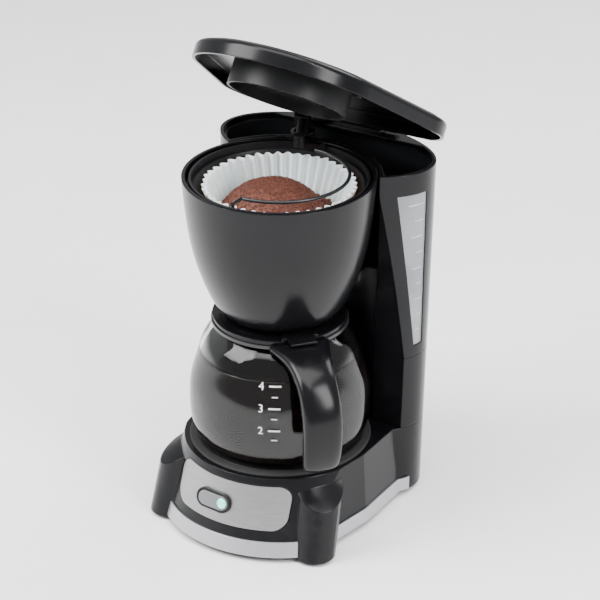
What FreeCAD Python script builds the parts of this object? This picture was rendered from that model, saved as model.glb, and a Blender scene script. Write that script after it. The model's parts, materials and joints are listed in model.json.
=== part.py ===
import FreeCAD, Part
import math
import os

"""Small drip coffee maker, lid open, carafe on its plate.

The brew axis is the vertical line through the carafe, the bowl and the filter. Shapes are
modelled about it, front towards -Y, and moved at the end so that the origin is the centre of
the whole box on the table. Lengths are in millimetres, angles in degrees.
"""

Vec = FreeCAD.Vector

# Overall sizes
TOWER_HEIGHT = 247.0        # top of the rear body and of the brew bowl
BASE_TOP = 55.0             # flat top of the base
SEAM = 110.0                # joint between the lower column and the tower
TOWER_HALF_WIDTH = 80.0     # half width of the tower at its top
TOWER_HALF_DEPTH = 46.0     # half depth of the tower at its top
TOWER_CENTRE = 61.0         # tower centre behind the brew axis
TOWER_TAPER = 6.0           # how much narrower the half width is at the table
BAY_RADIUS = 65.5           # round bay for the carafe, cut in the tower's front
ORIGIN_SHIFT = -12.1        # brew axis behind the origin, so that the whole box is centred

# Walls and clearances
WALL = 2.5
THIN_WALL = 2.0
REST_GAP = 0.1              # gap round a piece dropped in its seat
MOVING_GAP = 0.5            # gap between bodies that move past each other

# Base
BASE_FRONT = 83.0           # radius of the bowed front at the table
BASE_FRONT_TOP = 66.0       # radius of the bowed front at the top
BASE_HALF_WIDTH = 69.0      # at the table, from the carafe to the rear
BASE_FRONT_HALF_WIDTH = 52.0  # at the table, at the very front
BASE_LEAN = 3.0             # how much the sides lean in
BASE_SKIRT = 3.0            # height of the lower edge above the table
LEG_FOOT = (58.0, -52.0)    # centre of a front leg at the table
LEG_HEAD = (52.0, -35.0)    # centre of a front leg at its top
LEG_FOOT_RADIUS = 14.0
LEG_HEAD_RADIUS = 17.0
REAR_FOOT = (57.0, 60.0)
PAD_RADIUS = 8.0
PAD_DEPTH = 2.0             # depth of the pocket that holds a rubber pad
TRIM_LOW = 4.0
TRIM_HIGH = 14.0
TRIM_PROUD = 1.2

# Control panel and switch
PANEL_HALF_WIDTH = 43.0
PANEL_LOW = 21.0
PANEL_HIGH = 50.0
PANEL_CORNER = 9.0
PANEL_THICK = 1.4
SWITCH_ANGLE = -6.5         # turn of the switch about the brew axis, from the front
SWITCH_HEIGHT = 34.0
SWITCH_LENGTH = 28.0
SWITCH_WIDTH = 13.5
BEZEL_WALL = 1.4
ROCKER_TRAVEL = 7.0

# Warming plate
PLATE_RADIUS = 57.0
PLATE_TOP = 56.5
PLATE_THICK = 1.5
SEAL_RADIUS = 62.4
HEATER_RADIUS = 30.0        # bend of the heating tube
HEATER_TUBE = 5.0

# Brew bowl and filter basket
BOWL_RIM = 64.2
BOWL_BOTTOM = 150.0
BOWL_BOTTOM_RADIUS = 37.0
BASKET_RIM = 60.0
BASKET_FLOOR = 166.0
BASKET_FLOOR_RADIUS = 31.0
OUTLET_RADIUS = 4.0
PAPER_RIM = 52.0
PAPER_RISE = 74.0
PAPER_FLOOR_RADIUS = 27.0
PAPER_THICK = 1.6
MOUND_RADIUS = 37.0         # of the heap, where it meets the level grounds
MOUND_TOP = 241.0
MOUND_EDGE = 219.5
BAIL_RADIUS = 46.0
BAIL_WIRE = 1.2

# Carafe
GLASS_FLOOR = 56.8
GLASS_WALL = 2.0
GLASS_BELLY = 62.0
GLASS_SPLIT = GLASS_FLOOR + 33.0     # the belly's widest part, where the two halves meet
NECK_RADIUS = 39.5
NECK_TOP = 146.0
LID_CROWN = 148.7
HANDLE_ANGLE = 49.0         # turn of the handle about the brew axis, from the front to the right
HANDLE_REACH = 98.0
HANDLE_WIDTH = 27.0
HANDLE_LOW = 72.0

# Lid
LID_GAP = 0.5               # closed lid above the tower
LID_FRONT = 66.5
LID_MARGIN = 3.5            # lid beyond the tower's sides
LID_SKIRT = 11.0
LID_OPEN = 34.0             # angle of the open lid
HINGE_Y = 99.0
HINGE_RISE = 5.5            # hinge pin above the tower's top
HINGE_KNUCKLE = 4.5
PIN_RADIUS = 1.5
RUNNING_GAP = 0.06
SHOWER_RADIUS = 40.0
SHOWER_DEPTH = 19.0

# Water path
HOSE_X = 30.0
HOSE_Y = 80.0
HOSE_RADIUS = 6.5
HOSE_BORE = 4.0
HOSE_BEND = 12.0

# Drip valve
VALVE_TRAVEL = 2.5
STEM_RADIUS = 2.4

# Details of the pieces, and sizes that follow from the ones above
SLOPE_TOP = 28.0            # front face of the tower at its top, behind the brew axis
SLOPE_FOOT = 45.0           # and at the seam and below
BOSSES = [(x * side, y) for x, y in ((56.0, 24.0), (30.0, -50.0), (49.0, 84.0)) for side in (-1, 1)]
BOSS_RADIUS = 4.0
SCREW_RADIUS = 1.5
SCREW_HEAD = 3.0
SCREW_DEPTH = 12.0
COVER_TOP = BASE_SKIRT + 2.0
LEG_FLOOR = 2.0             # underside of the feet above the table
LEG_TOP = BASE_TOP - WALL
SHOULDER_CENTRE = (30.0, -20.0, -10.0)     # of the ball that rounds the outer top of a leg
SHOULDER_RADIUS = 66.0
FOOT_PLACES = [(side * x, y) for x, y in (LEG_FOOT, REAR_FOOT) for side in (-1, 1)]
DUCT_HALF = 42.0
BEZEL_TOP = 1.8
SWITCH_DEEP = -12.0
ROCKER_LENGTH = SWITCH_LENGTH - 2 * BEZEL_WALL - 4 * REST_GAP - 2 * MOVING_GAP
ROCKER_WIDTH = SWITCH_WIDTH - 2 * BEZEL_WALL - 4 * REST_GAP - MOVING_GAP
LENS_RADIUS = 3.6
LENS_X = ROCKER_LENGTH / 2 - LENS_RADIUS - 1.4
HEATER_Z = BASE_TOP - WALL - HOSE_RADIUS - 1.5
HEATER_END = HOSE_Y - HOSE_BEND
OUTLET_HOLE = 8.0
COVER_HALF = 42.0
COVER_LOW = BASE_TOP + 4
COVER_HIGH = SEAM - 6
COVER_SCREWS = [(side * (COVER_HALF - 5), height)
                for side in (-1, 1) for height in (COVER_LOW + 5, COVER_HIGH - 5)]
GLAND_HEIGHT = 72.0
GLAND_RADIUS = 6.0
GLAND_BORE = 3.2
WINDOW_TURN = 60.0          # direction the window faces, from the front to the right
WINDOW_TOP = 232.0
WINDOW_FOOT = 118.0
WINDOW_TOP_EDGE = (66.0, 88.5)   # its two sides at the top, along the wall
WINDOW_FOOT_EDGE = (82.0, 89.5)  # and at the foot
EAR_HALF = 21.5
DECK_Y = 90.0
HINGE_Z = TOWER_HEIGHT + HINGE_RISE
KNUCKLE_LENGTH = 11.0
TANK_GAP = 0.2
RISER_RADIUS = 5.0
CHANNEL = RISER_RADIUS + 1.5
TANK_TOP = TOWER_HEIGHT - WALL - 1.5
OUTLET_BORE = 5.0
HOSE_TOP = SEAM - 22.0
SPOUT_Z = TOWER_HEIGHT + 4.6
SPOUT_LOW = TOWER_HEIGHT + 0.5
SPOUT_HIGH = TOWER_HEIGHT + 8.4
SPOUT_RADIUS = 3.3
SPOUT_BORE = 2.2
SPOUT_END = (-13.0, 47.0)
# Bowl profile as (share of the height, share of the widening) between its floor and its rim
BOWL_CURVE = [(0.0, 0.0), (0.06, 0.21), (0.2, 0.47), (0.41, 0.72), (0.62, 0.87), (1.0, 1.0)]
LEDGE_HEIGHT = 240.0
BRACKET_HALF = 36.0
BRACKET_FOOT = 166.0
BOWL_OUTLET = 8.0
BASKET_WALL = 1.6
SUMP_RADIUS = 12.0
SUMP_FLOOR = 157.0
SEAL_TOP = SUMP_FLOOR + BASKET_WALL + 1.0
PAPER_FLOOR = BASKET_FLOOR + BASKET_WALL + 0.3
STEM_TIP = LID_CROWN + 0.3
KNOB_TOP = STEM_TIP + 2.6
KNOB_RADIUS = 5.0
# Carafe profile: (radius, height above its floor); the belly and the neck are named above
GLASS_CURVE = [(GLASS_BELLY - 13.0, 0.0), (GLASS_BELLY - 5.0, 4.5), (GLASS_BELLY - 1.3, 13.0),
               (GLASS_BELLY, 28.0), (GLASS_BELLY - 1.0, 43.0), (GLASS_BELLY - 6.0, 61.0),
               (NECK_RADIUS + 10.2, 76.0), (NECK_RADIUS + 2.2, 84.5), (NECK_RADIUS, NECK_TOP - GLASS_FLOOR)]
COLLAR_LOW = NECK_TOP - 4.5
COLLAR_TOP = NECK_TOP + 1.5
COLLAR_RADIUS = NECK_RADIUS + 6.0
BAND_THICK = 0.9
NECK_GAP = 0.3
EAR_NEAR = NECK_RADIUS + 0.8
EAR_FAR = NECK_RADIUS + 6.0
PIN_R = NECK_RADIUS + 3.4
PIN_Z = NECK_TOP + 2.2
LID_PIN_RADIUS = 1.0
TAB_TOP = PIN_Z + 1.3
DRIP_HOLE = 3.0
TAB_HALF = 8.9
TAB_END = 54.0
HANDLE_INNER = [(70.0, 127.0), (80.0, 118.0), (84.5, 105.0), (84.0, 88.0), (81.0, HANDLE_LOW + 2.0)]
HANDLE_OUTER = [(92.0, HANDLE_LOW), (97.0, 90.0), (HANDLE_REACH, 108.0), (95.0, 126.0), (84.0, 139.0)]
HANDLE_ROOT = 21.0
HANDLE_SCREW_Z = 143.2
# Lid, drawn closed and then turned open about the hinge
LID_LOW = TOWER_HEIGHT + LID_GAP
LID_TOP = LID_LOW + LID_SKIRT
LID_REAR = HINGE_Y - HINGE_KNUCKLE - 1.0
CROWN_INSET = 7.0
CROWN_RISE = 1.4
LID_ROUND = 3.5
RING_SCREW_RADIUS = 1.0
RING_TAB = SHOWER_RADIUS + 4.0
RING_SCREWS = [(RING_TAB * math.sin(math.radians(turn)), -RING_TAB * math.cos(math.radians(turn)))
               for turn in (0, 120, 240)]
SHOWER_WALL = 1.8
TRIM_END = 52.0


def cylinder(radius, low, high, x=0.0, y=0.0):
    return Part.makeCylinder(radius, high - low, Vec(x, y, low))


def rod(radius, start, end):
    way = Vec(*end) - Vec(*start)
    return Part.makeCylinder(radius, way.Length, Vec(*start), way)


def ring(outer, inner, low, high, x=0.0, y=0.0):
    return cylinder(outer, low, high, x, y).cut(cylinder(inner, low - 1, high + 1, x, y))


def cone(low_radius, high_radius, low, high, x=0.0, y=0.0):
    return Part.makeCone(low_radius, high_radius, high - low, Vec(x, y, low))


def block(x0, x1, y0, y1, z0, z1):
    return Part.makeBox(x1 - x0, y1 - y0, z1 - z0, Vec(x0, y0, z0))


def turned(points):
    """A solid of revolution from a closed outline of (radius, height) points."""
    outline = [Vec(radius, 0, height) for radius, height in points]
    face = Part.Face(Part.makePolygon(outline + outline[:1]))
    return face.revolve(Vec(0, 0, 0), Vec(0, 0, 1), 360)


def turned_curve(points):
    """A solid of revolution under one smooth curve of (radius, height) points, closed to the axis."""
    curve = Part.BSplineCurve()
    curve.interpolate([Vec(radius, 0, height) for radius, height in points])
    low = Vec(0, 0, points[0][1])
    high = Vec(0, 0, points[-1][1])
    start = Vec(points[0][0], 0, points[0][1])
    end = Vec(points[-1][0], 0, points[-1][1])
    edges = [Part.makeLine(low, start), curve.toShape(), Part.makeLine(end, high), Part.makeLine(high, low)]
    return Part.Face(Part.Wire(edges)).revolve(Vec(0, 0, 0), Vec(0, 0, 1), 360)


def fused(shapes):
    return shapes[0].multiFuse(shapes[1:]).removeSplitter() if len(shapes) > 1 else shapes[0]


def tower_size(height):
    """Half width and half depth of the tower's ellipse at a height."""
    drop = TOWER_TAPER * (TOWER_HEIGHT - height) / TOWER_HEIGHT
    return TOWER_HALF_WIDTH - drop, TOWER_HALF_DEPTH - drop / 2


def tower_solid(inset, low, high):
    """The rear body between two heights, moved in by inset on every upright face."""
    body = tower_loft(inset, low, high).cut(cylinder(BAY_RADIUS + inset, low - 1, high + 1))
    return body.cut(front_slope(inset))


def front_slope(inset):
    """What is cut off the tower's front: a slope above the seam and an upright face below it."""
    far = 200.0
    outline = [Vec(-far, SLOPE_FOOT + inset, -1), Vec(-far, SLOPE_FOOT + inset, SEAM),
               Vec(-far, SLOPE_TOP + inset, TOWER_HEIGHT + 1), Vec(-far, -far, TOWER_HEIGHT + 1),
               Vec(-far, -far, -1)]
    return Part.Face(Part.makePolygon(outline + outline[:1])).extrude(Vec(2 * far, 0, 0))


def base_plan(inset, height):
    """Plan of the base's sides at a height: narrower at the front legs than at the carafe."""
    lean = BASE_LEAN * height / BASE_TOP + inset
    wide = BASE_HALF_WIDTH - lean
    narrow = BASE_FRONT_HALF_WIDTH - lean
    corners = [Vec(-narrow, -BASE_FRONT - 10, height), Vec(narrow, -BASE_FRONT - 10, height),
               Vec(wide, 0, height), Vec(wide, TOWER_CENTRE, height),
               Vec(-wide, TOWER_CENTRE, height), Vec(-wide, 0, height)]
    return Part.Wire(Part.makePolygon(corners + corners[:1]))


def tower_loft(inset, low, high):
    wires = []
    for height in (low, high):
        half_width, half_depth = tower_size(height)
        ellipse = Part.Ellipse(Vec(0, TOWER_CENTRE, height), half_width - inset, half_depth - inset)
        wires.append(Part.Wire([ellipse.toShape()]))
    return Part.makeLoft(wires, True, True)


def base_solid(inset, low, high):
    """The base's outer form: bowed front, nearly straight sides, a rear that follows the tower."""
    sides = Part.makeLoft([base_plan(inset, low), base_plan(inset, high)], True, True)
    front = cone(front_reach(low) - inset, front_reach(high) - inset, low, high).common(sides)
    sides = sides.common(block(-200, 200, 0, 200, low, high))
    return fused([front, sides, tower_loft(inset, low, high)])


def front_reach(height):
    """Radius of the bowed front at a height."""
    return BASE_FRONT - (BASE_FRONT - BASE_FRONT_TOP) * height / BASE_TOP


def leg(inset, low, high):
    """Front legs: round columns that widen and lean in towards the top."""
    legs = []
    for side in (-1, 1):
        wires = []
        for height in (low, high):
            share = height / LEG_TOP
            x, y = (foot + (head - foot) * share for foot, head in zip(LEG_FOOT, LEG_HEAD))
            radius = LEG_FOOT_RADIUS + (LEG_HEAD_RADIUS - LEG_FOOT_RADIUS) * share - inset
            wires.append(Part.Wire([Part.Circle(Vec(side * x, y, height), Vec(0, 0, 1), radius).toShape()]))
        x, y, z = SHOULDER_CENTRE
        shoulder = Part.makeSphere(SHOULDER_RADIUS - inset, Vec(side * x, y, z))
        legs.append(Part.makeLoft(wires, True, True).common(shoulder))
    return legs


def base_shell():
    """Open underneath, with posts for the rear feet and the screws, a well for the plate and a
    duct up into the column."""
    shell = base_solid(0, BASE_SKIRT, BASE_TOP).cut(base_solid(WALL, -1, BASE_TOP - WALL))
    shell = shell.multiFuse(leg(0, LEG_FLOOR, LEG_TOP))
    for inner in leg(WALL, LEG_FLOOR + PAD_DEPTH + WALL, LEG_TOP - WALL):
        shell = shell.cut(inner)
    posts = [cylinder(PAD_RADIUS + WALL, LEG_FLOOR, BASE_TOP - 1, side * REAR_FOOT[0], REAR_FOOT[1])
             for side in (-1, 1)]
    posts += [cylinder(BOSS_RADIUS, COVER_TOP, BASE_TOP - 1, x, y) for x, y in BOSSES]
    shell = shell.multiFuse(posts)
    shell = shell.cut(cylinder(PLATE_RADIUS + WALL, BASE_TOP - 2 * WALL, BASE_TOP + 1))
    shell = shell.cut(base_duct())
    for x, y in BOSSES:
        shell = shell.cut(cylinder(SCREW_RADIUS, COVER_TOP - 1, COVER_TOP + SCREW_DEPTH, x, y))
    for x, y in FOOT_PLACES:
        shell = shell.cut(cylinder(PAD_RADIUS, LEG_FLOOR - 1, LEG_FLOOR + PAD_DEPTH, x, y))
    shell = shell.cut(panel_solid(0.0, -PANEL_THICK, 10.0))
    return shell.cut(switch_place(switch_cutter()))


def base_duct():
    duct = tower_solid(2 * WALL, BASE_TOP - 2 * WALL, BASE_TOP + 1)
    return duct.common(block(-DUCT_HALF, DUCT_HALF, 0, 200, 0, 100))


def bottom_cover():
    plate = base_solid(WALL + REST_GAP, BASE_SKIRT, COVER_TOP)
    for foot in leg(-REST_GAP, LEG_FLOOR - 4, LEG_TOP):
        plate = plate.cut(foot)
    for side in (-1, 1):
        hole = cylinder(PAD_RADIUS + WALL + REST_GAP, 0, BASE_TOP, side * REAR_FOOT[0], REAR_FOOT[1])
        plate = plate.cut(hole)
    for x, y in BOSSES:
        plate = plate.cut(cylinder(SCREW_RADIUS, 0, BASE_TOP, x, y))
    for row in range(6):
        y = -22 + 9 * row
        plate = plate.cut(block(-22, 22, y, y + 3, 0, BASE_TOP))
    return max(plate.Solids, key=lambda solid: solid.Volume)


def rubber_feet():
    pads = []
    for x, y in FOOT_PLACES:
        pad = cylinder(PAD_RADIUS - REST_GAP, 0, LEG_FLOOR + PAD_DEPTH, x, y)
        pads.append(pad.makeFillet(0.8, [edge for edge in pad.Edges if edge.BoundBox.ZMax < 0.1]))
    return Part.makeCompound(pads)


def screws(places, head_low, direction):
    """Pan-head screws with a cross recess; direction is +1 when the shank points up."""
    made = []
    for x, y in places:
        head = cylinder(SCREW_HEAD, 0, 1.6)
        shank = cylinder(SCREW_RADIUS, 1.6, 1.6 + SCREW_DEPTH - 2)
        screw = head.fuse(shank)
        screw = screw.cut(block(-1.8, 1.8, -0.35, 0.35, -1, 0.8)).cut(block(-0.35, 0.35, -1.8, 1.8, -1, 0.8))
        if direction < 0:
            screw.rotate(Vec(0, 0, 0), Vec(1, 0, 0), 180)
        screw.translate(Vec(x, y, head_low))
        made.append(screw)
    return Part.makeCompound(made)


def base_screws():
    return screws(BOSSES, BASE_SKIRT - 1.6, 1)


def trim_band():
    """A thin band that stands proud of the base all round, low down."""
    band = base_solid(-TRIM_PROUD, TRIM_LOW, TRIM_HIGH).cut(base_solid(0, TRIM_LOW - 1, TRIM_HIGH + 1))
    for foot in leg(-REST_GAP, LEG_FLOOR - 4, LEG_TOP):
        band = band.cut(foot)
    return band


def trim(low, high):
    band = trim_band().common(block(low[0], high[0], low[1], high[1], TRIM_LOW, TRIM_HIGH))
    return max(band.Solids, key=lambda solid: solid.Volume)


def panel_solid(gap, low, high):
    """The control panel's outline, pushed out along the front from low to high off the surface."""
    half = PANEL_HALF_WIDTH - gap
    slope = (BASE_FRONT - BASE_FRONT_TOP) / BASE_TOP
    skin = cone(front_reach(0) + high, front_reach(0) + high - slope * BASE_TOP, 0, BASE_TOP)
    skin = skin.cut(cone(front_reach(0) + low, front_reach(0) + low - slope * BASE_TOP, 0, BASE_TOP))
    outline = block(-half, half, -120, -40, PANEL_LOW + gap, PANEL_HIGH - gap)
    edges = [edge for edge in outline.Edges if abs(edge.tangentAt(0).y) > 0.99]
    return skin.common(outline.makeFillet(PANEL_CORNER - gap, edges))


def switch_place(shape):
    """Move a shape from the switch's own axes (length X, height Y, outward Z) to the front."""
    slope = math.degrees(math.atan((BASE_FRONT - BASE_FRONT_TOP) / BASE_TOP))
    shape = shape.copy()
    shape.rotate(Vec(0, 0, 0), Vec(1, 0, 0), 90 - slope)
    shape.translate(Vec(0, -front_reach(SWITCH_HEIGHT), SWITCH_HEIGHT))
    shape.rotate(Vec(0, 0, 0), Vec(0, 0, 1), SWITCH_ANGLE)
    return shape


def pill(length, width, low, high):
    half = (length - width) / 2
    ends = [cylinder(width / 2, low, high, side * half, 0) for side in (-1, 1)]
    return fused(ends + [block(-half, half, -width / 2, width / 2, low, high)])


def switch_cutter():
    return pill(SWITCH_LENGTH, SWITCH_WIDTH, SWITCH_DEEP, 10)


def control_panel():
    panel = panel_solid(REST_GAP, -PANEL_THICK, 0.3)
    return panel.cut(switch_place(switch_cutter()))


def switch_bezel():
    gap = 2 * REST_GAP
    rim = pill(SWITCH_LENGTH - gap, SWITCH_WIDTH - gap, -6, BEZEL_TOP)
    inner = pill(SWITCH_LENGTH - gap - 2 * BEZEL_WALL, SWITCH_WIDTH - gap - 2 * BEZEL_WALL, -7, BEZEL_TOP + 1)
    return switch_place(rim.cut(inner))


def rocked(shape):
    """Switched on: the end with the lens is pressed in."""
    shape = shape.copy()
    shape.rotate(Vec(0, 0, 0), Vec(0, 1, 0), ROCKER_TRAVEL / 2)
    return shape


def switch_rocker():
    """A pill cut from a round drum, so that its ends dip as it rocks."""
    body = pill(ROCKER_LENGTH, ROCKER_WIDTH, -3.0, 3.0)
    drum = Part.makeCylinder(60.0, 40, Vec(0, -20, -57.4), Vec(0, 1, 0))
    body = body.common(drum)
    body = body.cut(cylinder(LENS_RADIUS, -0.5, 5, LENS_X, 0))
    return switch_place(rocked(body))


def switch_lens():
    lens = cylinder(LENS_RADIUS - REST_GAP, -0.5, 3.0, LENS_X, 0)
    dome = Part.makeSphere(7.0, Vec(LENS_X, 0, -4.2))
    return switch_place(rocked(lens.common(dome)))


def switch_body():
    case = block(-10, 10, -6, 6, SWITCH_DEEP - 3, -6.2)
    blades = [block(x - 0.4, x + 0.4, -3, 3, SWITCH_DEEP - 10, SWITCH_DEEP - 3) for x in (-6, 0, 6)]
    return switch_place(fused([case] + blades))


def warming_plate():
    plate = cylinder(PLATE_RADIUS - REST_GAP, PLATE_TOP - PLATE_THICK, PLATE_TOP)
    for radius in (22.0, 34.0, 46.0):
        groove = ring(radius + 0.6, radius - 0.6, PLATE_TOP - 0.4, PLATE_TOP + 1)
        plate = plate.cut(groove)
    return plate


def plate_seal():
    under = PLATE_TOP - PLATE_THICK
    return turned([(PLATE_RADIUS - 3, under - 1.5), (PLATE_RADIUS + WALL - REST_GAP, under - 1.5),
                   (PLATE_RADIUS + WALL - REST_GAP, BASE_TOP), (SEAL_RADIUS, BASE_TOP),
                   (SEAL_RADIUS - 0.8, PLATE_TOP - 0.3), (PLATE_RADIUS, PLATE_TOP - 0.3),
                   (PLATE_RADIUS, under), (PLATE_RADIUS - 3, under)])


def heating_tube():
    bend = Part.makeTorus(HEATER_RADIUS, HEATER_TUBE, Vec(0, 0, HEATER_Z), Vec(0, 0, 1), -180, 180, 180)
    bend.rotate(Vec(0, 0, HEATER_Z), Vec(0, 0, 1), 180)
    legs = [rod(HEATER_TUBE, (side * HEATER_RADIUS, 0, HEATER_Z),
                (side * HEATER_RADIUS, HEATER_END - 12, HEATER_Z))
            for side in (-1, 1)]
    necks = [rod(HOSE_BORE, (side * HEATER_RADIUS, HEATER_END - 12, HEATER_Z),
                 (side * HEATER_RADIUS, HEATER_END, HEATER_Z)) for side in (-1, 1)]
    return fused([bend] + legs + necks)


def heat_spreader():
    """Horseshoe of cast metal between the heating tube and the plate."""
    half = HEATER_TUBE + 2
    top = PLATE_TOP - PLATE_THICK
    front = block(-99, 99, -99, 0, 0, 99)
    bend = ring(HEATER_RADIUS + half, HEATER_RADIUS - half, HEATER_Z, top).common(front)
    legs = [block(side * HEATER_RADIUS - half, side * HEATER_RADIUS + half, 0, HEATER_RADIUS, HEATER_Z, top)
            for side in (-1, 1)]
    return fused([bend] + legs).cut(heating_tube())


def heater_clamp():
    """A cross bar under the heating tube, with two studs."""
    under = HEATER_Z - HEATER_TUBE
    bar = block(-HEATER_RADIUS - 8, HEATER_RADIUS + 8, 6, 18, under - 2.2, under - REST_GAP)
    studs = [cylinder(2.0, COVER_TOP, under - 2.2, x, 12) for x in (-14, 14)]
    return fused([bar] + studs)


def thermostat():
    under = PLATE_TOP - PLATE_THICK
    can = cylinder(8, under - 9, under, 0, -6)
    tabs = [block(x - 0.4, x + 0.4, -9, -3, under - 16, under - 9) for x in (-4, 4)]
    return fused([can] + tabs)


def thermal_fuse():
    return fused([rod(2.2, (-9, 30, HEATER_Z), (9, 30, HEATER_Z)),
                  rod(0.6, (-20, 30, HEATER_Z), (20, 30, HEATER_Z))])


def terminal_block():
    body = block(-14, 14, 62, 72, COVER_TOP, COVER_TOP + 12)
    for x in (-9, 0, 9):
        body = body.cut(cylinder(2, COVER_TOP + 4, COVER_TOP + 13, x, 67))
    return body


def wall_zone(outset, inset, low, high):
    """The rear body's wall, from outset outside its face to inset inside it."""
    return tower_solid(-outset, low, high).cut(tower_solid(inset, low - 1, high + 1))


def rear_opening(gap):
    return block(-COVER_HALF + gap, COVER_HALF - gap, 85, 130, COVER_LOW + gap, COVER_HIGH - gap)


def rear_y(x, height):
    """How far back the rear body's face is at a place."""
    half_width, half_depth = tower_size(height)
    return TOWER_CENTRE + half_depth * math.sqrt(1 - (x / half_width) ** 2)


def column_shell():
    """Lower part of the rear body, between the base and the seam, with a deck under the tank."""
    shell = tower_solid(0, BASE_TOP, SEAM).cut(tower_solid(WALL, BASE_TOP - 1, SEAM - WALL))
    shell = shell.cut(rear_opening(0))
    for side in (-1, 1):
        shell = shell.cut(cylinder(OUTLET_HOLE, SEAM - WALL - 1, SEAM + 1, side * HOSE_X, HOSE_Y))
    return shell


def rear_cover():
    cover = wall_zone(0, WALL, BASE_TOP, SEAM).common(rear_opening(REST_GAP))
    cover = cover.cut(rod(GLAND_RADIUS, (0, 85, GLAND_HEIGHT), (0, 130, GLAND_HEIGHT)))
    for x, height in COVER_SCREWS:
        cover = cover.cut(rod(SCREW_RADIUS, (x, 85, height), (x, 130, height)))
    return cover


def cover_screws():
    made = []
    for x, height in COVER_SCREWS:
        back = rear_y(x, height) + 1.2
        screw = rod(SCREW_HEAD, (x, back - 0.9, height), (x, back + 0.6, height))
        screw = screw.fuse(rod(SCREW_RADIUS, (x, back - 9, height), (x, back - 0.9, height)))
        screw = screw.cut(block(x - 1.8, x + 1.8, back, back + 5, height - 0.35, height + 0.35))
        made.append(screw.cut(wall_zone(0, WALL, BASE_TOP, SEAM)).fuse(
            rod(SCREW_RADIUS, (x, back - 8, height), (x, back - 0.9, height))))
    return Part.makeCompound(made)


def cord_gland():
    back = rear_y(0, GLAND_HEIGHT)
    gland = rod(GLAND_RADIUS, (0, back - WALL - 3, GLAND_HEIGHT), (0, back + 2.4, GLAND_HEIGHT))
    for y0, y1 in ((back - WALL - 3, back - WALL - 0.6), (back + 0.2, back + 2.4)):
        gland = gland.fuse(rod(GLAND_RADIUS + 1.8, (0, y0, GLAND_HEIGHT), (0, y1, GLAND_HEIGHT)))
    return gland.cut(rod(GLAND_BORE, (0, back - 20, GLAND_HEIGHT), (0, back + 20, GLAND_HEIGHT)))


def window_outline(grow):
    turn = math.radians(WINDOW_TURN)
    along = Vec(math.cos(turn), math.sin(turn), 0)
    out = Vec(math.sin(turn), -math.cos(turn), 0)
    places = [(WINDOW_TOP_EDGE[0] - grow, WINDOW_TOP + grow), (WINDOW_TOP_EDGE[1] + grow, WINDOW_TOP + grow),
              (WINDOW_FOOT_EDGE[1] + grow, WINDOW_FOOT - grow),
              (WINDOW_FOOT_EDGE[0] - grow, WINDOW_FOOT - grow)]
    corners = [along * place + out * 22.0 + Vec(0, 0, height) for place, height in places]
    return Part.Face(Part.makePolygon(corners + corners[:1])).extrude(out * 60)


def water_window():
    pane = wall_zone(-0.7, WALL, SEAM, TOWER_HEIGHT).common(window_outline(-REST_GAP))
    return max(pane.Solids, key=lambda solid: solid.Volume)


def tower_shell():
    """Upper part of the rear body round the tank, open at the top in front of the hinge."""
    shell = tower_solid(0, SEAM, TOWER_HEIGHT).cut(tower_solid(WALL, SEAM - 1, TOWER_HEIGHT + 1))
    deck = tower_solid(WALL - 1, TOWER_HEIGHT - WALL, TOWER_HEIGHT)
    deck = deck.common(block(-200, 200, DECK_Y, 200, 0, 300))
    ear = block(-EAR_HALF, EAR_HALF, HINGE_Y - HINGE_KNUCKLE, HINGE_Y + HINGE_KNUCKLE,
                TOWER_HEIGHT - 1, HINGE_Z)
    knuckle = rod(HINGE_KNUCKLE, (-EAR_HALF, HINGE_Y, HINGE_Z), (EAR_HALF, HINGE_Y, HINGE_Z))
    shell = shell.multiFuse([deck, ear, knuckle])
    shell = shell.cut(rod(PIN_RADIUS, (-100, HINGE_Y, HINGE_Z), (100, HINGE_Y, HINGE_Z)))
    return shell.cut(window_outline(0))


def lid_hinge_pin():
    half = EAR_HALF + MOVING_GAP + KNUCKLE_LENGTH + 1
    return rod(PIN_RADIUS, (-half, HINGE_Y, HINGE_Z), (half, HINGE_Y, HINGE_Z))


def reservoir_tank():
    """A crescent tub that drops into the tower, with a channel for the riser and an outlet hole."""
    outer = tower_solid(WALL + TANK_GAP, SEAM, TANK_TOP)
    inner = tower_solid(WALL + TANK_GAP + THIN_WALL, SEAM + THIN_WALL, TANK_TOP + 1)
    outer = outer.cut(cylinder(CHANNEL, 0, 300, -HOSE_X, HOSE_Y))
    inner = inner.cut(cylinder(CHANNEL + THIN_WALL, 0, 300, -HOSE_X, HOSE_Y))
    return outer.cut(inner).cut(cylinder(OUTLET_BORE, 0, 300, HOSE_X, HOSE_Y))


def tank_outlet():
    """Rubber grommet through the tank's floor."""
    grommet = ring(OUTLET_BORE, HOSE_BORE - 1, SEAM - 9, SEAM + THIN_WALL + 1, HOSE_X, HOSE_Y)
    flange = ring(OUTLET_BORE + 2, HOSE_BORE - 1, SEAM - 1.5, SEAM, HOSE_X, HOSE_Y)
    lip = ring(OUTLET_BORE + 1.5, HOSE_BORE - 1, SEAM + THIN_WALL, SEAM + THIN_WALL + 1.2, HOSE_X, HOSE_Y)
    return fused([grommet, flange, lip])


def check_valve():
    body = cylinder(6.0, HOSE_TOP, SEAM - 9, HOSE_X, HOSE_Y)
    spigot = cylinder(HOSE_BORE, HOSE_TOP - 8, HOSE_TOP, HOSE_X, HOSE_Y)
    return body.fuse(spigot).cut(cylinder(2.0, HOSE_TOP - 9, SEAM, HOSE_X, HOSE_Y))


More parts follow.
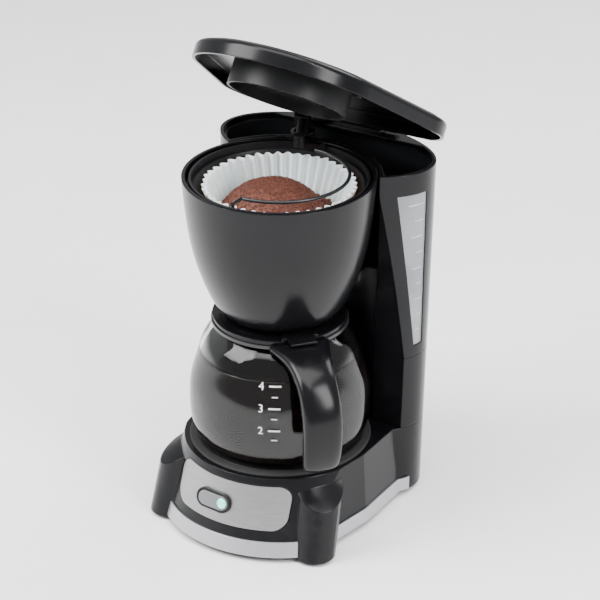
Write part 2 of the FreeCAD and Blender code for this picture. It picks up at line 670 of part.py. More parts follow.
def hose_solid(x, top, radius):
    """Level from the heating tube's neck, a quarter bend, then straight up."""
    centre = Vec(x, HOSE_Y - HOSE_BEND, HEATER_Z + HOSE_BEND)
    section = Part.Wire([Part.Circle(Vec(x, HOSE_Y - HOSE_BEND, HEATER_Z), Vec(0, 1, 0), radius).toShape()])
    bend = Part.Face(section).revolve(centre, Vec(1, 0, 0), 90)
    level = rod(radius, (x, HOSE_Y - HOSE_BEND - 10, HEATER_Z), (x, HOSE_Y - HOSE_BEND, HEATER_Z))
    upright = cylinder(radius, HEATER_Z + HOSE_BEND, top, x, HOSE_Y)
    return fused([level, bend, upright])


def cold_hose():
    return hose_solid(HOSE_X, HOSE_TOP - REST_GAP, HOSE_RADIUS).cut(hose_solid(HOSE_X, SEAM, HOSE_BORE))


def hot_hose():
    return hose_solid(-HOSE_X, HOSE_TOP, HOSE_RADIUS).cut(hose_solid(-HOSE_X, SEAM, HOSE_BORE))


def hose_clamps():
    """Spring clips round the hose ends."""
    made = []
    for side, top in ((-1, HOSE_TOP), (1, HOSE_TOP)):
        made.append(ring(HOSE_RADIUS + 1.0, HOSE_RADIUS, top - 6, top - 3, side * HOSE_X, HOSE_Y))
        level = rod(HOSE_RADIUS + 1.0, (side * HOSE_X, HEATER_END - 7, HEATER_Z),
                    (side * HOSE_X, HEATER_END - 4, HEATER_Z))
        made.append(level.cut(rod(HOSE_RADIUS, (side * HOSE_X, HEATER_END - 9, HEATER_Z),
                                  (side * HOSE_X, HEATER_END, HEATER_Z))))
    return Part.makeCompound(made)


def riser_tube():
    """Hard tube that carries the hot water up beside the tank; its foot plugs into the hose."""
    tube = ring(RISER_RADIUS, HOSE_BORE - 1, HOSE_TOP + REST_GAP, SPOUT_LOW, -HOSE_X, HOSE_Y)
    return tube.fuse(ring(HOSE_BORE, HOSE_BORE - 1, HOSE_TOP - 8, HOSE_TOP + 1, -HOSE_X, HOSE_Y))


def water_spout():
    """Arm from the riser's head to a nozzle over the back of the filter basket."""
    head = cylinder(RISER_RADIUS + 1, SPOUT_LOW, SPOUT_HIGH, -HOSE_X, HOSE_Y)
    arm = rod(SPOUT_RADIUS, (-HOSE_X, HOSE_Y, SPOUT_Z), (*SPOUT_END, SPOUT_Z))
    nozzle = cylinder(SPOUT_RADIUS + 0.8, SPOUT_LOW, SPOUT_HIGH, *SPOUT_END)
    spout = fused([head, arm, nozzle])
    spout = spout.cut(rod(SPOUT_BORE, (-HOSE_X, HOSE_Y, SPOUT_Z), (*SPOUT_END, SPOUT_Z)))
    spout = spout.cut(cylinder(SPOUT_BORE, SPOUT_Z - 9, SPOUT_Z, *SPOUT_END))
    return spout.cut(cylinder(HOSE_BORE - 1, SPOUT_Z - 9, SPOUT_Z, -HOSE_X, HOSE_Y))


def bowl_solid(inset, floor, top):
    points = []
    for rise, widening in BOWL_CURVE:
        radius = BOWL_BOTTOM_RADIUS + (BOWL_RIM - BOWL_BOTTOM_RADIUS) * widening - inset
        points.append((radius, floor + (top - floor) * rise))
    return turned_curve(points)


def brew_bowl():
    """Round funnel housing, carried by a bracket on the tower's front; a ledge holds the basket."""
    bracket = block(-BRACKET_HALF, BRACKET_HALF, 20, 80, BRACKET_FOOT, TOWER_HEIGHT)
    bracket = bracket.common(cylinder(BAY_RADIUS, 0, 300))
    bowl = bowl_solid(0, BOWL_BOTTOM, TOWER_HEIGHT).fuse(bracket)
    bowl = bowl.cut(bowl_solid(WALL, BOWL_BOTTOM + WALL, TOWER_HEIGHT + 0.5))
    ledge = cylinder(BOWL_RIM - 2, LEDGE_HEIGHT - 2, LEDGE_HEIGHT)
    ledge = ledge.cut(cylinder(BASKET_RIM - 3, 0, 300))
    ledge = ledge.common(bowl_solid(WALL / 2, BOWL_BOTTOM, TOWER_HEIGHT))
    bowl = bowl.fuse(ledge)
    return bowl.cut(cylinder(BOWL_OUTLET, BOWL_BOTTOM - 1, BOWL_BOTTOM + WALL + 1))


def basket_radius(height):
    share = (height - BASKET_FLOOR) / (LEDGE_HEIGHT - BASKET_FLOOR)
    return BASKET_FLOOR_RADIUS + (BASKET_RIM - 3.4 - BASKET_FLOOR_RADIUS) * share


def filter_basket():
    outer = BASKET_RIM + 0.6
    top = TOWER_HEIGHT - 1
    rim = LEDGE_HEIGHT + BASKET_WALL
    return turned([(OUTLET_RADIUS, SUMP_FLOOR), (SUMP_RADIUS, SUMP_FLOOR), (SUMP_RADIUS, BASKET_FLOOR),
                   (BASKET_FLOOR_RADIUS, BASKET_FLOOR), (basket_radius(LEDGE_HEIGHT), LEDGE_HEIGHT),
                   (outer, LEDGE_HEIGHT), (outer, rim), (BASKET_RIM - 0.6, rim), (BASKET_RIM - 0.6, top),
                   (BASKET_RIM - 2.2, top), (BASKET_RIM - 2.2, rim),
                   (basket_radius(rim) - BASKET_WALL, rim),
                   (basket_radius(BASKET_FLOOR + BASKET_WALL) - BASKET_WALL, BASKET_FLOOR + BASKET_WALL),
                   (SUMP_RADIUS - BASKET_WALL, BASKET_FLOOR + BASKET_WALL),
                   (SUMP_RADIUS - BASKET_WALL, SUMP_FLOOR + BASKET_WALL),
                   (OUTLET_RADIUS, SUMP_FLOOR + BASKET_WALL)])


def basket_bail():
    """Thin wire handle, folded down to the right just above the filter."""
    height = TOWER_HEIGHT + 0.6
    wire = Part.makeTorus(BAIL_RADIUS, BAIL_WIRE, Vec(0, 0, height), Vec(0, 0, 1), -180, 180, 180)
    wire.rotate(Vec(0, 0, 0), Vec(0, 0, 1), -90)
    reach = BASKET_RIM - 2.2
    ends = [rod(BAIL_WIRE, (0, side * BAIL_RADIUS, height), (0, side * (reach - 0.6), height))
            for side in (-1, 1)]
    hooks = [cylinder(BAIL_WIRE, TOWER_HEIGHT - 4, height, 0, side * (reach - BAIL_WIRE)) for side in (-1, 1)]
    return fused([wire] + ends + hooks)


def paper_radius(height):
    return PAPER_FLOOR_RADIUS + (PAPER_RIM - PAPER_FLOOR_RADIUS) * (height - PAPER_FLOOR) / PAPER_RISE


def paper_filter():
    top = PAPER_FLOOR + PAPER_RISE
    return turned([(0, PAPER_FLOOR), (PAPER_FLOOR_RADIUS, PAPER_FLOOR), (PAPER_RIM, top),
                   (PAPER_RIM - PAPER_THICK, top),
                   (PAPER_FLOOR_RADIUS - PAPER_THICK, PAPER_FLOOR + PAPER_THICK),
                   (0, PAPER_FLOOR + PAPER_THICK)])


def coffee_grounds():
    low = PAPER_FLOOR + PAPER_THICK + 0.3
    edge = paper_radius(MOUND_EDGE) - PAPER_THICK - 0.8
    foot = paper_radius(low) - PAPER_THICK - 0.8
    rise = MOUND_TOP - MOUND_EDGE
    round_radius = (MOUND_RADIUS ** 2 + rise ** 2) / (2 * rise)
    crown = Part.makeSphere(round_radius, Vec(0, 0, MOUND_TOP - round_radius))
    crown = crown.common(cylinder(MOUND_RADIUS + 5, MOUND_EDGE - 1, MOUND_TOP + 1))
    return cone(foot, edge, low, MOUND_EDGE).fuse(crown)


def valve_seal():
    return ring(7.5, OUTLET_RADIUS + 0.2, SUMP_FLOOR + BASKET_WALL, SEAL_TOP)


def drip_valve():
    """Plunger held up by the carafe's lid; it drops onto its seal when the carafe is taken away."""
    knob = cylinder(KNOB_RADIUS, STEM_TIP, KNOB_TOP)
    stem = cylinder(STEM_RADIUS, KNOB_TOP - 1, SEAL_TOP + VALVE_TRAVEL + 1)
    head_low = SEAL_TOP + VALVE_TRAVEL + 0.1
    return fused([knob, stem, cylinder(7.0, head_low, head_low + 1.8)])


def valve_spring():
    """Coils between the sump and the plunger's knob, drawn as stacked rings."""
    wire = 0.45
    coils = 3
    low = KNOB_TOP + wire
    step = (SUMP_FLOOR - wire - low) / (coils - 1)
    return Part.makeCompound([Part.makeTorus(3.6, wire, Vec(0, 0, low + turn * step))
                              for turn in range(coils)])


def glass_solid(inset, low=0.0, high=0.0):
    """The carafe's outer form, moved in by inset; low and high lift its floor and its top."""
    points = [(radius - inset, GLASS_FLOOR + height) for radius, height in GLASS_CURVE]
    points[0] = (points[0][0], points[0][1] + low)
    points[-1] = (points[-1][0], points[-1][1] + high)
    return turned_curve(points)


def whole_glass():
    return glass_solid(0).cut(glass_solid(GLASS_WALL, low=GLASS_WALL, high=1.0))


def carafe_glass():
    """The carafe's floor and belly, up to its widest part."""
    return whole_glass().common(cylinder(GLASS_BELLY + 5, GLASS_FLOOR - 1, GLASS_SPLIT))


def carafe_shoulder():
    """The upper half of the same glass: shoulder and neck."""
    return whole_glass().common(cylinder(GLASS_BELLY + 5, GLASS_SPLIT, NECK_TOP + 1))


def carafe_collar():
    """Plastic collar round the neck, with two ears for the lid's pin and a pouring lip."""
    collar = cylinder(COLLAR_RADIUS, COLLAR_LOW, COLLAR_TOP)
    lip = cylinder(9.0, COLLAR_TOP - 3, COLLAR_TOP, -COLLAR_RADIUS + 2, 0)
    ears = [block(EAR_NEAR, EAR_FAR, side * 10.5 - 1.3, side * 10.5 + 1.3, COLLAR_TOP - 1, PIN_Z + 2)
            for side in (-1, 1)]
    collar = fused([collar, lip] + ears)
    collar = collar.cut(cylinder(NECK_RADIUS + NECK_GAP, COLLAR_LOW - 1, PIN_Z + 9))
    collar = collar.cut(glass_solid(-NECK_GAP, high=9.0))
    collar = collar.cut(rod(LID_PIN_RADIUS, (PIN_R, -30, PIN_Z), (PIN_R, 30, PIN_Z)))
    return handle_place(collar)


def handle_place(shape):
    """Turn a shape whose +X is the handle's side to where the handle points."""
    shape = shape.copy()
    shape.rotate(Vec(0, 0, 0), Vec(0, 0, 1), HANDLE_ANGLE - 90)
    return shape


def carafe_band():
    """Steel strap round the collar, which holds the handle."""
    return ring(COLLAR_RADIUS + BAND_THICK, COLLAR_RADIUS, COLLAR_LOW + 0.5, COLLAR_TOP - 3.2)


def carafe_lid():
    """Lid with a shallow cone towards its drip hole, a plug in the neck and a thumb tab."""
    rim = NECK_RADIUS + 0.1
    seat = NECK_TOP + 0.1
    lid = turned([(DRIP_HOLE, seat), (NECK_RADIUS - GLASS_WALL - 1.6, seat),
                  (NECK_RADIUS - GLASS_WALL - 1.6, NECK_TOP - 5),
                  (NECK_RADIUS - GLASS_WALL - 0.4, NECK_TOP - 5),
                  (NECK_RADIUS - GLASS_WALL - 0.4, seat), (rim, seat), (rim, seat + 1.2),
                  (DRIP_HOLE + 3, LID_CROWN), (DRIP_HOLE, LID_CROWN - 0.8)])
    tab = block(NECK_RADIUS - 6, TAB_END, -TAB_HALF, TAB_HALF, COLLAR_TOP + 0.3, TAB_TOP)
    tab = tab.fuse(block(NECK_RADIUS - 6, NECK_RADIUS - 1, -TAB_HALF, TAB_HALF, NECK_TOP + 0.6, TAB_TOP))
    tab = tab.cut(rod(LID_PIN_RADIUS, (PIN_R, -30, PIN_Z), (PIN_R, 30, PIN_Z)))
    return handle_place(lid.fuse(tab))


def carafe_lid_pin():
    return handle_place(rod(LID_PIN_RADIUS, (PIN_R, -11.8, PIN_Z), (PIN_R, 11.8, PIN_Z)))


def handle_outline():
    """The handle seen from the side: (reach, height), from the collar out and down to its tip."""
    inner = Part.BSplineCurve()
    inner.interpolate([Vec(52.0, 0, 136.5)] + [Vec(reach, 0, height) for reach, height in HANDLE_INNER])
    outer = Part.BSplineCurve()
    outer.interpolate([Vec(reach, 0, height) for reach, height in HANDLE_OUTER] + [Vec(64.0, 0, 146.8)])
    root = [Vec(64.0, 0, 146.8), Vec(36.0, 0, 146.8), Vec(36.0, 0, 140.0), Vec(52.0, 0, 136.5)]
    edges = [inner.toShape(), Part.makeLine(Vec(81.0, 0, HANDLE_LOW + 2.0), Vec(92.0, 0, HANDLE_LOW)),
             outer.toShape()] + [Part.makeLine(start, end) for start, end in zip(root, root[1:])]
    return Part.Wire(edges)


def handle_plan():
    """The handle seen from above: wide at the collar, then an even width."""
    half = HANDLE_WIDTH / 2
    corners = [Vec(30, -HANDLE_ROOT, 0), Vec(48, -HANDLE_ROOT, 0), Vec(68, -half, 0), Vec(110, -half, 0),
               Vec(110, half, 0), Vec(68, half, 0), Vec(48, HANDLE_ROOT, 0), Vec(30, HANDLE_ROOT, 0)]
    return Part.Face(Part.makePolygon(corners + corners[:1])).extrude(Vec(0, 0, 300))


def carafe_handle():
    width = 2 * HANDLE_ROOT + 10
    side = Part.Face(handle_outline()).extrude(Vec(0, width, 0))
    side.translate(Vec(0, -width / 2, 0))
    handle = side.common(handle_plan())
    handle = handle.cut(cylinder(COLLAR_RADIUS + BAND_THICK + REST_GAP, 0, 300))
    handle = handle.cut(rod(SCREW_RADIUS, (30, 0, HANDLE_SCREW_Z), (60, 0, HANDLE_SCREW_Z)))
    return handle_place(handle)


def handle_screw():
    reach = COLLAR_RADIUS + BAND_THICK + REST_GAP
    return handle_place(rod(SCREW_RADIUS, (reach, 0, HANDLE_SCREW_Z), (60, 0, HANDLE_SCREW_Z)))


def hull_outline(inset, height):
    """Plan that wraps the bowl's circle and the tower's ellipse with two tangent lines."""
    front = LID_FRONT - inset
    wide = TOWER_HALF_WIDTH + LID_MARGIN - inset
    deep = TOWER_HALF_DEPTH + LID_MARGIN - inset
    low, high = -90.0, 0.0
    for _ in range(60):
        middle = (low + high) / 2
        angle = math.radians(middle)
        reach = math.hypot(wide * math.cos(angle), deep * math.sin(angle)) + TOWER_CENTRE * math.sin(angle)
        low, high = (middle, high) if reach < front else (low, middle)
    angle = math.radians(low)
    hub = math.hypot(wide * math.cos(angle), deep * math.sin(angle))
    touch_x = wide ** 2 * math.cos(angle) / hub
    touch_y = TOWER_CENTRE + deep ** 2 * math.sin(angle) / hub
    left = Vec(-front * math.cos(angle), front * math.sin(angle), height)
    right = Vec(front * math.cos(angle), front * math.sin(angle), height)
    ellipse = Part.Ellipse(Vec(0, TOWER_CENTRE, height), wide, deep)
    start = math.asin((touch_y - TOWER_CENTRE) / deep)
    arc = Part.ArcOfEllipse(ellipse, start, math.pi - start)
    edges = [Part.Arc(left, Vec(0, -front, height), right).toShape(),
             Part.makeLine(right, Vec(touch_x, touch_y, height)), arc.toShape(),
             Part.makeLine(Vec(-touch_x, touch_y, height), left)]
    return Part.Wire(edges)


def lid_prism(inset, low, high):
    prism = Part.Face(hull_outline(inset, low)).extrude(Vec(0, 0, high - low))
    return prism.common(block(-200, 200, -200, LID_REAR - inset, low, high))


def lid_open(shape):
    shape = shape.copy()
    shape.rotate(Vec(0, HINGE_Y, HINGE_Z), Vec(1, 0, 0), -LID_OPEN)
    return shape


def lid_shell():
    """Tray-shaped lid with a raised crown and two hinge knuckles."""
    outer = lid_prism(0, LID_LOW, LID_TOP)
    rim = [edge for edge in outer.Edges if edge.BoundBox.ZMin > LID_TOP - 0.5]
    outer = outer.makeFillet(LID_ROUND, rim)
    outer = outer.fuse(lid_prism(CROWN_INSET, LID_TOP - 1, LID_TOP + CROWN_RISE))
    shell = outer.cut(lid_prism(THIN_WALL, LID_LOW - 1, LID_TOP - THIN_WALL))
    parts = []
    for side in (-1, 1):
        near = side * (EAR_HALF + MOVING_GAP)
        far = near + side * KNUCKLE_LENGTH
        x0, x1 = sorted((near, far))
        parts.append(rod(HINGE_KNUCKLE, (x0, HINGE_Y, HINGE_Z), (x1, HINGE_Y, HINGE_Z)))
        parts.append(block(x0, x1, LID_REAR - THIN_WALL / 2, HINGE_Y, HINGE_Z - 3, HINGE_Z + 3))
    shell = shell.multiFuse(parts)
    shell = shell.cut(rod(PIN_RADIUS + RUNNING_GAP, (-100, HINGE_Y, HINGE_Z), (100, HINGE_Y, HINGE_Z)))
    for x, y in RING_SCREWS:
        shell = shell.cut(cylinder(RING_SCREW_RADIUS, LID_TOP - THIN_WALL - 1, LID_TOP, x, y))
    return lid_open(shell)


def shower_ring():
    """Skirt and perforated plate that spread the water over the grounds."""
    ceiling = LID_TOP - THIN_WALL
    low = ceiling - SHOWER_DEPTH
    part = ring(SHOWER_RADIUS, SHOWER_RADIUS - SHOWER_WALL, low, ceiling)
    plate = cylinder(SHOWER_RADIUS - 1, low + 7, low + 8.6)
    holes = []
    for radius, count in ((10.0, 6), (20.0, 10), (30.0, 14)):
        for step in range(count):
            turn = 2 * math.pi * step / count
            holes.append(cylinder(1.3, low + 6, low + 10, radius * math.cos(turn), radius * math.sin(turn)))
    part = part.fuse(plate.cut(Part.makeCompound(holes)))
    for x, y in RING_SCREWS:
        part = part.fuse(cylinder(5.0, ceiling - 1.8, ceiling, x, y))
        part = part.cut(cylinder(SHOWER_RADIUS - SHOWER_WALL, ceiling - 5, ceiling + 1))
        part = part.cut(cylinder(RING_SCREW_RADIUS, ceiling - 3, ceiling + 1, x, y))
    return lid_open(part)


def ring_screws():
    ceiling = LID_TOP - THIN_WALL
    made = []
    for x, y in RING_SCREWS:
        head = cylinder(2.0, ceiling - 3.0, ceiling - 1.8, x, y)
        head = head.cut(block(x - 1.4, x + 1.4, y - 0.25, y + 0.25, 0, ceiling - 2.4))
        made.append(head.fuse(cylinder(RING_SCREW_RADIUS, ceiling - 1.8, ceiling + 0.9, x, y)))
    return lid_open(Part.makeCompound(made))


def left_trim():
    return trim((-200, -45), (-40, TRIM_END))


# ---- write one file per piece

FIXED = {
    "base_shell": base_shell, "bottom_cover": bottom_cover, "rubber_feet": rubber_feet,
    "base_screws": base_screws, "control_panel": control_panel, "switch_bezel": switch_bezel,
    "switch_body": switch_body, "warming_plate": warming_plate, "plate_seal": plate_seal,
    "heating_tube": heating_tube, "heat_spreader": heat_spreader, "heater_clamp": heater_clamp,
    "thermostat": thermostat,
    "thermal_fuse": thermal_fuse, "terminal_block": terminal_block, "column_shell": column_shell,
    "rear_cover": rear_cover, "cover_screws": cover_screws, "cord_gland": cord_gland,
    "tower_shell": tower_shell, "water_window": water_window, "lid_hinge_pin": lid_hinge_pin,
    "reservoir_tank": reservoir_tank, "tank_outlet": tank_outlet, "check_valve": check_valve,
    "cold_hose": cold_hose, "hot_hose": hot_hose, "hose_clamps": hose_clamps,
    "riser_tube": riser_tube, "water_spout": water_spout, "brew_bowl": brew_bowl,
    "filter_basket": filter_basket, "basket_bail": basket_bail, "paper_filter": paper_filter,
    "coffee_grounds": coffee_grounds, "valve_seal": valve_seal, "valve_spring": valve_spring,
}
TRIMS = {
    "front_trim": lambda: trim((-60, -100), (60, -55)),
    "left_trim": left_trim,
    "right_trim": lambda: left_trim().mirror(Vec(0, 0, 0), Vec(1, 0, 0)),
}
MOVING = {
    "switch_rocker": switch_rocker, "switch_lens": switch_lens, "drip_valve": drip_valve,
    "lid_shell": lid_shell, "shower_ring": shower_ring, "ring_screws": ring_screws,
    "carafe_glass": carafe_glass, "carafe_shoulder": carafe_shoulder, "carafe_collar": carafe_collar,
    "carafe_band": carafe_band,
    "carafe_lid": carafe_lid, "carafe_lid_pin": carafe_lid_pin, "carafe_handle": carafe_handle,
    "handle_screw": handle_screw,
}

os.makedirs("parts", exist_ok=True)
for name, make in {**FIXED, **TRIMS, **MOVING}.items():
    piece = make()
    piece.translate(Vec(0, ORIGIN_SHIFT, 0))
    piece.exportStep(os.path.join("parts", name + ".step"))
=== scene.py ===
import json
import math
import random

import bpy
import bmesh
import numpy
from mathutils import Matrix, Vector, noise
from mathutils.bvhtree import BVHTree


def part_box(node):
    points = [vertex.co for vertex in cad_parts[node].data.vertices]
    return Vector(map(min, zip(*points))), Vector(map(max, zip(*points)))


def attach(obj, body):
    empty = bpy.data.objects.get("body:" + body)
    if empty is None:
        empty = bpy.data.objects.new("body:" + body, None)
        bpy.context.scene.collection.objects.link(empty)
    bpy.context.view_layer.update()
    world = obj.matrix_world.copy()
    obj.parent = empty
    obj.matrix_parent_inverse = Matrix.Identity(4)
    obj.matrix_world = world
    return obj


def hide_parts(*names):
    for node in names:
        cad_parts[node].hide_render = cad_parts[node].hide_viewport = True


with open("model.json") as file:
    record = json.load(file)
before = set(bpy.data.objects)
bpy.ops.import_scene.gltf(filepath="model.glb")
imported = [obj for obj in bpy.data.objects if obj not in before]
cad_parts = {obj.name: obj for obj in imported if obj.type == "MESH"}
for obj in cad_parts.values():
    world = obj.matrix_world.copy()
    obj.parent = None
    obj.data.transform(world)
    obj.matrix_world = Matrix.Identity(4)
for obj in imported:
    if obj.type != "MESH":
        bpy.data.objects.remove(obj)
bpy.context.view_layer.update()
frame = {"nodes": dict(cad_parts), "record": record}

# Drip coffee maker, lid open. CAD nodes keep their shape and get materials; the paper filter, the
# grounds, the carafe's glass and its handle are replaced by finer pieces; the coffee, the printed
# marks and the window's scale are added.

MM = 0.001


def node_box(node):
    low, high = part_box(node)
    return low, high, (low + high) / 2


GLASS_LOW, _, GLASS_MID = node_box("carafe_glass")
PAPER_LOW, PAPER_HIGH, PAPER_MID = node_box("paper_filter")
AXIS = Vector((GLASS_MID.x, GLASS_MID.y, 0.0))      # brew axis, at the table


# ---------------------------------------------------------------- camera and lights

VIEW_AZIMUTH = math.radians(31.0)
VIEW_ELEVATION = math.radians(26.7)
VIEW_DISTANCE = 1.6
LENS = 139.2
SENSOR_WIDTH = 36.0
CLIP_END = 20.0
AIM_HEIGHT = 0.056
AIM_RIGHT = 0.0135
AIM_UP = 0.0887

# Soft boxes: name, azimuth and elevation in degrees, distance, width and height in metres, watts
LIGHTS = (("softbox_left", -46, 40, 1.5, 0.8, 0.9, 34), ("softbox_right", 75, 34, 1.6, 0.45, 1.1, 24),
          ("softbox_top", 10, 80, 1.5, 1.3, 1.1, 30), ("softbox_back", 165, 38, 1.9, 1.3, 0.8, 22))
LIGHT_AIM = 0.16
WORLD_COLOUR = (0.95, 0.96, 0.97, 1)
WORLD_STRENGTH = 0.72
FLOOR_SIZE = 14.0
FLOOR_Z = -0.0004        # just under the feet


def add_camera():
    """Long lens from the front right, aimed a little beside and above the plate's centre."""
    forward = Vector((-math.sin(VIEW_AZIMUTH) * math.cos(VIEW_ELEVATION),
                      math.cos(VIEW_AZIMUTH) * math.cos(VIEW_ELEVATION),
                      -math.sin(VIEW_ELEVATION)))
    right = Vector((math.cos(VIEW_AZIMUTH), math.sin(VIEW_AZIMUTH), 0.0))
    up = right.cross(forward)
    anchor = AXIS + Vector((0, 0, AIM_HEIGHT)) + right * AIM_RIGHT + up * AIM_UP
    data = bpy.data.cameras.new("camera")
    data.lens = LENS
    data.sensor_width = SENSOR_WIDTH
    data.clip_end = CLIP_END
    camera = bpy.data.objects.new("camera", data)
    bpy.context.scene.collection.objects.link(camera)
    turned = Matrix(((right.x, up.x, -forward.x, 0), (right.y, up.y, -forward.y, 0),
                     (right.z, up.z, -forward.z, 0), (0, 0, 0, 1)))
    camera.matrix_world = Matrix.Translation(anchor - forward * VIEW_DISTANCE) @ turned
    bpy.context.scene.camera = camera


def add_light(name, azimuth, elevation, distance, width, height, power):
    """A soft box that faces the middle of the object."""
    turn, rise = math.radians(azimuth), math.radians(elevation)
    away = Vector((math.sin(turn) * math.cos(rise), -math.cos(turn) * math.cos(rise), math.sin(rise)))
    target = AXIS + Vector((0, 0, LIGHT_AIM))
    data = bpy.data.lights.new(name, "AREA")
    data.shape = "RECTANGLE"
    data.size = width
    data.size_y = height
    data.energy = power
    light = bpy.data.objects.new(name, data)
    bpy.context.scene.collection.objects.link(light)
    light.location = target + away * distance
    light.rotation_euler = (-away).to_track_quat("-Z", "Y").to_euler()


def add_studio():
    """Four soft boxes, a pale world and a white floor."""
    for row in LIGHTS:
        add_light(*row)
    world = bpy.data.worlds.new("studio")
    world.use_nodes = True
    world.node_tree.nodes["Background"].inputs["Color"].default_value = WORLD_COLOUR
    world.node_tree.nodes["Background"].inputs["Strength"].default_value = WORLD_STRENGTH
    bpy.context.scene.world = world
    bpy.ops.mesh.primitive_plane_add(size=FLOOR_SIZE, location=(0, 0, FLOOR_Z))
    floor = bpy.context.object
    floor.name = "floor"
    white = plain("floor_white", (0.95, 0.95, 0.95), 0.7, grain=0.02, Specular_IOR_Level=0.1)
    floor.data.materials.append(white)


# ---------------------------------------------------------------- materials

class Shader:
    """A Principled material with small helpers for its node tree."""

    def __init__(self, name, colour, roughness, metallic=0.0, **values):
        self.material = bpy.data.materials.new(name)
        self.material.use_nodes = True
        self.tree = self.material.node_tree
        self.principled = self.tree.nodes["Principled BSDF"]
        self.set("Base Color", (*colour, 1.0))
        self.set("Roughness", roughness)
        self.set("Metallic", metallic)
        for socket, value in values.items():
            self.set(socket.replace("_", " "), value)
        self.place = self.add("ShaderNodeTexCoord").outputs["Object"]
        self.normal = None

    def set(self, socket, value):
        self.principled.inputs[socket].default_value = value

    def add(self, kind, **settings):
        node = self.tree.nodes.new(kind)
        for key, value in settings.items():
            if key in node.inputs:
                node.inputs[key].default_value = value
            else:
                setattr(node, key, value)
        return node

    def link(self, start, end):
        self.tree.links.new(start, end)
        return end

    def noise(self, scale, detail=4.0, roughness=0.6, stretch=(1, 1, 1)):
        mapping = self.add("ShaderNodeMapping", Scale=stretch)
        self.link(self.place, mapping.inputs["Vector"])
        texture = self.add("ShaderNodeTexNoise", Scale=scale, Detail=detail, Roughness=roughness)
        self.link(mapping.outputs["Vector"], texture.inputs["Vector"])
        return texture.outputs["Fac"]

    def mix(self, factor, low, high, start=0.3, end=0.7):
        """A colour ramp from low to high driven by factor."""
        ramp = self.add("ShaderNodeValToRGB")
        ramp.color_ramp.elements[0].position = start
        ramp.color_ramp.elements[0].color = (*low, 1.0)
        ramp.color_ramp.elements[1].position = end
        ramp.color_ramp.elements[1].color = (*high, 1.0)
        self.link(factor, ramp.inputs["Fac"])
        return ramp.outputs["Color"]

    def vary_colour(self, factor, low, high, start=0.3, end=0.7):
        self.link(self.mix(factor, low, high, start, end), self.principled.inputs["Base Color"])

    def vary_roughness(self, factor, low, high):
        spread = self.add("ShaderNodeMapRange")
        spread.inputs["To Min"].default_value = low
        spread.inputs["To Max"].default_value = high
        self.link(factor, spread.inputs["Value"])
        self.link(spread.outputs["Result"], self.principled.inputs["Roughness"])

    def bump(self, factor, strength, distance):
        bump = self.add("ShaderNodeBump", Strength=strength, Distance=distance)
        self.link(factor, bump.inputs["Height"])
        if self.normal is not None:
            self.link(self.normal, bump.inputs["Normal"])
        self.normal = bump.outputs["Normal"]
        self.link(self.normal, self.principled.inputs["Normal"])

    def soften_edges(self, radius):
        bevel = self.add("ShaderNodeBevel", samples=6)
        bevel.inputs["Radius"].default_value = radius
        self.normal = bevel.outputs["Normal"]
        self.link(self.normal, self.principled.inputs["Normal"])


def plain(name, colour, roughness, metallic=0.0, grain=0.1, edge=0.0, scale=900.0, **values):
    """A surface with fine grain: colour, roughness and bump all vary a little."""
    shader = Shader(name, colour, roughness, metallic, **values)
    if edge:
        shader.soften_edges(edge)
    fine = shader.noise(scale, 3.0)
    broad = shader.noise(18.0, 5.0, 0.7)
    shader.vary_colour(broad, tuple(part * (1 - grain) for part in colour),
                       tuple(min(1.0, part * (1 + grain)) for part in colour))
    shader.vary_roughness(broad, roughness * 0.85, min(1.0, roughness * 1.2))
    shader.bump(fine, 0.08 + grain, 0.00004)
    return shader.material


def black_plastic():
    """Polished moulding with faint handling marks and soft edges."""
    shader = Shader("black_plastic", (0.003, 0.003, 0.0035), 0.2, Specular_IOR_Level=0.22)
    shader.soften_edges(0.0011)
    broad = shader.noise(14.0, 6.0, 0.7)
    shader.vary_colour(broad, (0.0022, 0.0022, 0.003), (0.006, 0.006, 0.007))
    shader.vary_roughness(broad, 0.16, 0.27)
    shader.bump(shader.noise(240.0, 2.0), 0.05, 0.00003)
    return shader.material


def brushed_metal():
    """Fine horizontal brush lines under a clear coat."""
    shader = Shader("brushed_metal", (0.5, 0.5, 0.5), 0.34, 1.0, Coat_Weight=0.1, Coat_Roughness=0.2)
    lines = shader.noise(60.0, 6.0, 0.75, stretch=(1.0, 1.0, 90.0))
    cloud = shader.noise(22.0, 4.0)
    shader.vary_colour(lines, (0.24, 0.24, 0.24), (0.44, 0.44, 0.44), 0.25, 0.75)
    shader.vary_roughness(cloud, 0.28, 0.45)
    shader.bump(lines, 0.25, 0.00006)
    return shader.material


def non_stick():
    shader = Shader("non_stick", (0.05, 0.05, 0.052), 0.28, 0.6)
    shader.soften_edges(0.0006)
    speckle = shader.noise(1400.0, 2.0)
    shader.vary_colour(speckle, (0.03, 0.03, 0.032), (0.09, 0.09, 0.092), 0.55, 0.8)
    shader.vary_roughness(shader.noise(30.0), 0.22, 0.4)
    shader.bump(speckle, 0.2, 0.00004)
    return shader.material


def clear_glass():
    shader = Shader("clear_glass", (0.98, 1.0, 0.995), 0.02, Transmission_Weight=1.0, IOR=1.3)
    shader.bump(shader.noise(9.0, 2.0), 0.06, 0.0006)
    shader.vary_roughness(shader.noise(40.0, 4.0), 0.0, 0.035)
    return shader.material


def brewed_coffee():
    shader = Shader("brewed_coffee", (0.004, 0.002, 0.001), 0.05, IOR=1.33)
    broad = shader.noise(25.0, 3.0)
    shader.vary_colour(broad, (0.002, 0.001, 0.001), (0.007, 0.003, 0.002))
    shader.bump(shader.noise(60.0, 2.0), 0.03, 0.0002)
    return shader.material


